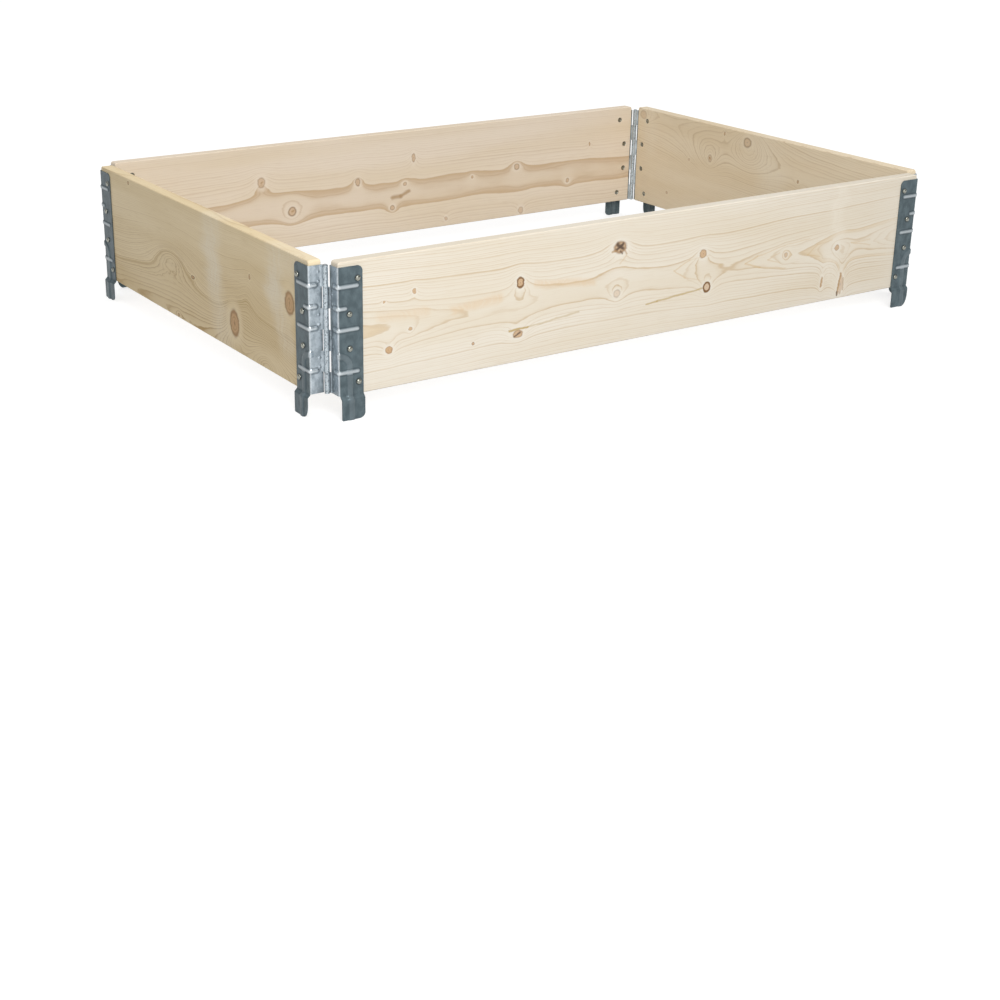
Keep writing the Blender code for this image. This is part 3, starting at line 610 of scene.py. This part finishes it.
def press_leaf(hand):
    """Models one leaf from its flat blank; along is +X, out is +Y, and the pin is at the origin."""
    columns = (spaced(CURL_END, CURL_START, CURL_STEPS) + spaced(CURL_START, PLATE_END, 2)
               + spaced(PLATE_END, JOG_START, 3) + spaced(JOG_START, -BEND_RADIUS, PLATE_STEPS)
               + spaced(-BEND_RADIUS, BEND_RADIUS, BEND_STEPS)
               + spaced(BEND_RADIUS, FACE_WIDTH, FACE_STEPS) + [FACE_WIDTH])
    rows = spaced(-SKIRT_DROP, LEAF_BOTTOM, SKIRT_STEPS)
    for number in range(KNUCKLES):
        low = LEAF_BOTTOM + number * KNUCKLE_PITCH + (KNUCKLE_GAP / 2 if number else 0.0)
        gap_above = KNUCKLE_GAP / 2 if number < KNUCKLES - 1 else 0.0
        high = LEAF_BOTTOM + (number + 1) * KNUCKLE_PITCH - gap_above
        rows += spaced(low, high, KNUCKLE_STEPS) + [high]
    bpy.ops.object.select_all(action="DESELECT")
    bpy.ops.mesh.primitive_grid_add(x_subdivisions=len(columns) - 1, y_subdivisions=len(rows) - 1, size=2.0)
    blank = bpy.context.object
    for vertex in blank.data.vertices:
        column = round((vertex.co.x + 1) / 2 * (len(columns) - 1))
        row = round((vertex.co.y + 1) / 2 * (len(rows) - 1))
        vertex.co = (columns[column], rows[row], 0.0)
    bpy.ops.object.mode_set(mode="EDIT")

    def waste(middle):
        """What the press cuts away: the corner of the skirt, the rivet holes and the knuckles' gaps."""
        if middle.y < LEAF_BOTTOM:
            return middle.x < BEND_RADIUS
        if min(math.hypot(middle.x - a, middle.y - z) for a, z in RIVET_PLACES) < RIVET_HOLE:
            return True
        if middle.x > JOG_START:
            return False
        number = min(int((middle.y - LEAF_BOTTOM) / KNUCKLE_PITCH), KNUCKLES - 1)
        from_gap = (middle.y - LEAF_BOTTOM) - round((middle.y - LEAF_BOTTOM) / KNUCKLE_PITCH) * KNUCKLE_PITCH
        in_gap = abs(from_gap) < KNUCKLE_GAP / 2 and LEAF_BOTTOM + GAP_END < middle.y < LEAF_TOP - GAP_END
        return in_gap or (middle.x < PLATE_END and not owns_knuckle(hand, number))

    pick_faces(blank, waste)
    bpy.ops.mesh.delete(type="FACE")
    bend_cut, free_cut = (BEND_CUT, SMALL_CUT) if hand == "left" else (SMALL_CUT, FREE_CUT)
    cut_corner(blank, (FACE_WIDTH, LEAF_TOP), (-1, -1), TOP_CORNER)
    cut_corner(blank, (FACE_WIDTH, -SKIRT_DROP), (-1, 1), free_cut)
    cut_corner(blank, (BEND_RADIUS, -SKIRT_DROP), (1, 1), bend_cut)
    bpy.ops.object.mode_set(mode="OBJECT")
    mesh = blank.data
    for vertex in mesh.vertices:
        for a, z in RIVET_PLACES:
            away = Vector((vertex.co.x - a, vertex.co.y - z, 0.0))
            if away.length < RIVET_HOLE + HOLE_MARGIN:
                vertex.co = Vector((a, z, 0.0)) + away.normalized() * RIVET_HOLE
    flat = [vertex.co.copy() for vertex in mesh.vertices]
    raised = [pressed_out(point.x, point.y, hand) for point in flat]
    while mesh.uv_layers:
        mesh.uv_layers.remove(mesh.uv_layers[0])
    blank_map = mesh.uv_layers.new(name="blank")
    press_map = mesh.uv_layers.new(name="press")
    bead_map = mesh.uv_layers.new(name="bead")
    for loop in mesh.loops:
        blank_map.data[loop.index].uv = flat[loop.vertex_index].xy
        press_map.data[loop.index].uv = (raised[loop.vertex_index] / BEAD_HEIGHT, 0.0)
        bead_map.data[loop.index].uv = off_bead(*flat[loop.vertex_index].xy)
    side = 1 if hand == "left" else -1
    for vertex, point, height in zip(mesh.vertices, flat, raised):
        number = min(max(int((point.y - LEAF_BOTTOM) / KNUCKLE_PITCH), 0), KNUCKLES - 1)
        place, way = folded(point.x, owns_knuckle(hand, number))
        place += way * (height + JOGGLE_OUT * eased((LEAF_BOTTOM - point.y) / JOGGLE_HEIGHT))
        vertex.co = (place.x, place.y * side, point.y + SKIRT_DROP)
    if hand == "left":
        bpy.ops.object.mode_set(mode="EDIT")
        bpy.ops.mesh.select_all(action="SELECT")
        bpy.ops.mesh.flip_normals()
        bpy.ops.object.mode_set(mode="OBJECT")
    sheet = blank.modifiers.new("sheet", "SOLIDIFY")
    sheet.thickness = LEAF_SHEET
    sheet.offset = -1.0
    sheet.use_even_offset = True
    bpy.ops.object.modifier_apply(modifier="sheet")
    bpy.ops.object.shade_smooth_by_angle(angle=math.radians(40))
    return blank


def place_copy(pattern, name, matrix, finish, body, node):
    """A copy of a pattern piece with its own mesh, put in its place for good."""
    made = bpy.data.objects.new(name, pattern.data.copy())
    bpy.context.scene.collection.objects.link(made)
    made.data.transform(matrix)
    made.data.materials.clear()
    made.data.materials.append(finish)
    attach(made, body)
    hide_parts(node)
    return made


# The first colour below lightens pressed-out metal, most on the beads, where it is a painted highlight; the
# second is bright zinc for worn bead crests and bends, with a painted highlight laid over the wear.
PRESSED_TINT_AND_HIGHLIGHT = (0.34, 0.39, 0.42, 1.0)
BRIGHT_WEAR_AND_HIGHLIGHT = (0.78, 0.82, 0.84, 1.0)


def zinc_wear_and_painted_light(name):
    """Zinc plating read off the flat blank: dull faces, bright end plates and knuckles, bends and bead
    crests worn bright with a painted highlight, beads lit by a painted highlight, painted shade at the bead
    feet, and dirt with painted contact shadow round the rivets.
    """
    made, tree, shader = new_material(name)
    point = add_node(tree, "ShaderNodeTexCoord").outputs["Object"]
    blank = add_node(tree, "ShaderNodeUVMap", uv_map="blank").outputs["UV"]
    press = add_node(tree, "ShaderNodeUVMap", uv_map="press").outputs["UV"]
    a = add_node(tree, "ShaderNodeSeparateXYZ", {"Vector": blank}).outputs["X"]
    raised = add_node(tree, "ShaderNodeSeparateXYZ", {"Vector": press}).outputs["X"]
    bead = add_node(tree, "ShaderNodeUVMap", uv_map="bead").outputs["UV"]
    above, below, _ = add_node(tree, "ShaderNodeSeparateXYZ", {"Vector": bead}).outputs
    blotches = noise(tree, point, (110.0, 110.0, 70.0), 4.0)
    flecks = noise(tree, point, (520.0, 520.0, 420.0), 3.0, 4.0)
    grain = noise(tree, point, (1500.0, 1500.0, 1500.0), 2.0)
    face = tint(tree, between(tree, blotches, -0.2, 0.2), (0.078, 0.105, 0.117, 1.0),
                (0.116, 0.154, 0.170, 1.0))
    plate = tint(tree, between(tree, blotches, -0.16, 0.16), (0.30, 0.35, 0.385, 1.0),
                 (0.48, 0.54, 0.585, 1.0))
    plate = tint(tree, between(tree, flecks, 0.10, 0.24, 0.0, 0.55), plate, (0.66, 0.72, 0.76, 1.0))
    plate = tint(tree, between(tree, flecks, -0.12, -0.24, 0.0, 0.6), plate, (0.12, 0.15, 0.18, 1.0))
    metal = tint(tree, between(tree, a, 0.0016, -0.0010), face, plate)
    knuckle_share = between(tree, a, JOG_START - 0.002, CURL_START, 0.0, 0.55)
    metal = tint(tree, knuckle_share, metal, (0.58, 0.64, 0.67, 1.0))
    pits = calculate(tree, "MULTIPLY", between(tree, a, CURL_START, CURL_START - 0.001),
                     between(tree, flecks, 0.02, 0.16, 0.0, 0.80))
    metal = tint(tree, pits, metal, (0.07, 0.09, 0.11, 1.0))
    off_crest = calculate(tree, "MAXIMUM", above, below)
    on_bead = between(tree, off_crest, 1.15, 0.85)
    from_bend = calculate(tree, "ABSOLUTE", a)
    # Pressed-out metal is tinted a little lighter, and the beads much lighter: a painted highlight on each
    # bead.
    metal = tint(tree, between(tree, raised, 0.45, 0.90, 0.0, 0.15), metal, PRESSED_TINT_AND_HIGHLIGHT)
    body = calculate(tree, "MULTIPLY", between(tree, raised, 0.20, 0.70, 0.0, 0.50), on_bead)
    metal = tint(tree, body, metal, PRESSED_TINT_AND_HIGHLIGHT)
    # Bead crests: worn bright, with a painted highlight that is stronger near the bend.
    crest = calculate(tree, "MULTIPLY", between(tree, raised, 0.35, 0.95),
                      between(tree, off_crest, 0.75, 0.20))
    crest = calculate(tree, "MULTIPLY", crest, between(tree, from_bend, 0.0015, 0.0060, 0.55, 0.35))
    metal = tint(tree, crest, metal, BRIGHT_WEAR_AND_HIGHLIGHT)
    # Painted shade: a dark band along the foot of each bead, on both sides of it.
    bead_foot_shade = calculate(tree, "MULTIPLY", between(tree, off_crest, 0.75, 1.05),
                      between(tree, off_crest, 1.45, 1.10, 0.0, 0.40))
    metal = tint(tree, bead_foot_shade, metal, (0.05, 0.06, 0.07, 1.0))
    # The bend: worn bright, with a painted highlight along it.
    bend = calculate(tree, "MULTIPLY", between(tree, from_bend, 0.0024, 0.0006, 0.0, 0.40),
                     between(tree, flecks, -0.25, 0.1, 0.45, 1.0))
    metal = tint(tree, bend, metal, BRIGHT_WEAR_AND_HIGHLIGHT)
    # A dark ring round each rivet head: dirt, and painted contact shadow.
    nearest = 1.0
    for rivet_a, rivet_z in RIVET_PLACES:
        away = calculate_vector(tree, "SUBTRACT", blank, (rivet_a, rivet_z, 0.0))
        nearest = calculate(tree, "MINIMUM", calculate_vector(tree, "LENGTH", away), nearest)
    metal = tint(tree, between(tree, nearest, 0.0062, 0.0046, 0.0, 0.35), metal, (0.02, 0.024, 0.028, 1.0))
    tree.links.new(metal, shader.inputs["Base Color"])
    tree.links.new(between(tree, grain, -0.25, 0.25, 0.26, 0.42), shader.inputs["Roughness"])
    tree.links.new(between(tree, a, 0.0016, -0.0010, 0.30, 0.80), shader.inputs["Metallic"])
    shader.inputs["Specular IOR Level"].default_value = 0.12
    relief = calculate(tree, "MULTIPLY_ADD", flecks, 0.6, grain)
    bump = add_node(tree, "ShaderNodeBump", {"Height": relief, "Strength": 0.25, "Distance": 0.0002})
    tree.links.new(bump.outputs["Normal"], shader.inputs["Normal"])
    return made


SIDES = {"left": -1, "right": 1, "front": -1, "back": 1}
ENDS = {"front": ("left", "right"), "back": ("left", "right"),
        "left": ("front", "back"), "right": ("front", "back")}
leaf_patterns = {hand: press_leaf(hand) for hand in ("left", "right")}
leaf_finish = zinc_wear_and_painted_light("leaf_zinc")


def corner_pin(board, end):
    """Place of the pin at one end of a board."""
    across, along = (SIDES[end], SIDES[board]) if board in ("front", "back") else (SIDES[board], SIDES[end])
    return Vector((across * PIN_PLACE.x, along * PIN_PLACE.y, 0.0))


def board_turn(board):
    """Turn about Z that brings +Y to the outer side of a board."""
    return {"front": math.pi, "back": 0.0, "left": math.pi / 2, "right": -math.pi / 2}[board]


def leaf_hand(board, end):
    """Seen from outside a corner, the leaf on the left is left-handed."""
    same = SIDES[board] == SIDES[end]
    return "left" if same != (board in ("front", "back")) else "right"


for board_name, ends in ENDS.items():
    for end in ends:
        hand = leaf_hand(board_name, end)
        turn = board_turn(board_name) + (0.0 if hand == "left" else math.pi)
        place_copy(leaf_patterns[hand], f"pressed_leaf_{board_name}_{end}",
                   Matrix.Translation(corner_pin(board_name, end)) @ Matrix.Rotation(turn, 4, "Z"),
                   leaf_finish, board_name, f"{board_name}_board_{end}_leaf")
for pattern in leaf_patterns.values():
    bpy.data.objects.remove(pattern)

# Rivets, four through each leaf and its board: a small domed head outside, a shank, and a
# set tail sunk in the wood inside. They are turned steel, plated a dull yellowish zinc.
RIVET_SIDES = 28
RIVET_RINGS = ((0.0010, 0.0027), (0.0023, 0.0028), (0.0027, 0.0036), (0.0036, 0.0037), (0.0043, 0.0031),
               (0.0048, 0.0032), (0.0048, 0.0045), (0.0030, 0.0047), (0.0030, 0.0246), (0.0041, 0.0246),
               (0.00425, 0.0250), (0.00405, 0.0257), (0.0035, 0.0264), (0.0026, 0.0269), (0.0015, 0.02715),
               (0.0006, 0.0272))


def build_up(name, rings, sides):
    """A round closed piece built up along Z from its lowest ring, each ring a radius and a height."""
    bpy.ops.object.select_all(action="DESELECT")
    radius, height = rings[0]
    bpy.ops.mesh.primitive_circle_add(vertices=sides, radius=radius, fill_type="NGON",
                                      location=(0.0, 0.0, height))
    piece = bpy.context.object
    piece.name = name
    bpy.ops.object.transform_apply(location=True, rotation=True, scale=True)
    bpy.ops.object.mode_set(mode="EDIT")
    bpy.ops.mesh.select_mode(type="FACE")
    bpy.ops.mesh.select_all(action="SELECT")
    for wider, higher in rings[1:]:
        bpy.ops.mesh.extrude_region_move(TRANSFORM_OT_translate={"value": (0.0, 0.0, higher - height)})
        bpy.ops.transform.resize(value=(wider / radius, wider / radius, 1.0),
                                 center_override=(0.0, 0.0, higher))
        radius, height = wider, higher
    bpy.ops.mesh.select_all(action="SELECT")
    bpy.ops.mesh.normals_make_consistent(inside=False)
    bpy.ops.object.mode_set(mode="OBJECT")
    bpy.ops.object.shade_smooth_by_angle(angle=math.radians(35))
    return piece


def plated_steel(name, dark, light):
    """Steel with a thin, patchy plating."""
    made, tree, shader = new_material(name)
    point = add_node(tree, "ShaderNodeTexCoord").outputs["Object"]
    patches = noise(tree, point, (450.0, 450.0, 450.0), 3.0)
    fine = noise(tree, point, (2500.0, 2500.0, 2500.0), 2.0)
    metal = tint(tree, between(tree, patches, -0.2, 0.2), dark, light)
    tree.links.new(metal, shader.inputs["Base Color"])
    tree.links.new(between(tree, patches, -0.3, 0.3, 0.18, 0.32), shader.inputs["Roughness"])
    shader.inputs["Metallic"].default_value = 1.0
    bump = add_node(tree, "ShaderNodeBump", {"Height": fine, "Strength": 0.15, "Distance": 0.0001})
    tree.links.new(bump.outputs["Normal"], shader.inputs["Normal"])
    return made


rivet_pattern = build_up("rivet", RIVET_RINGS, RIVET_SIDES)
rivet_finish = plated_steel("rivet_zinc", (0.20, 0.205, 0.18, 1.0), (0.36, 0.365, 0.32, 1.0))
for board_name, ends in ENDS.items():
    for end in ends:
        turn = Matrix.Rotation(board_turn(board_name), 4, "Z")
        inward = 1 if leaf_hand(board_name, end) == "left" else -1
        for number, (a, z) in enumerate(RIVET_PLACES, start=1):
            stand = Matrix.Translation((inward * (PLATE_ALONG + a), 0.0, z + SKIRT_DROP))
            lay = Matrix.Rotation(math.radians(-90), 4, "X")
            place_copy(rivet_pattern, f"rivet_{board_name}_{end}_{number}",
                       Matrix.Translation(corner_pin(board_name, end)) @ turn @ stand @ lay,
                       rivet_finish, board_name, f"{board_name}_board_{end}_rivet_{number}")
bpy.data.objects.remove(rivet_pattern)

# Hinge pins, one through the six knuckles of each corner: drawn steel wire with both ends
# peened over. They ride on the front and the back board, and the leaves turn on them.
PIN_SIDES = 24
PIN_RINGS = ((0.0010, 0.0347), (0.0022, 0.0349), (0.0029, 0.0353), (0.0029, 0.0357), (0.0021, 0.0357),
             (0.0021, 0.2233), (0.0029, 0.2233), (0.0029, 0.2237), (0.0022, 0.2241), (0.0010, 0.2243))

pin_pattern = build_up("pin", PIN_RINGS, PIN_SIDES)
pin_finish = plated_steel("pin_zinc", (0.36, 0.39, 0.41, 1.0), (0.58, 0.61, 0.62, 1.0))
for board_name in ("front", "back"):
    for end in ENDS[board_name]:
        place_copy(pin_pattern, f"hinge_pin_{board_name}_{end}",
                   Matrix.Translation(corner_pin(board_name, end)), pin_finish, board_name,
                   f"{board_name}_{end}_pin")
bpy.data.objects.remove(pin_pattern)
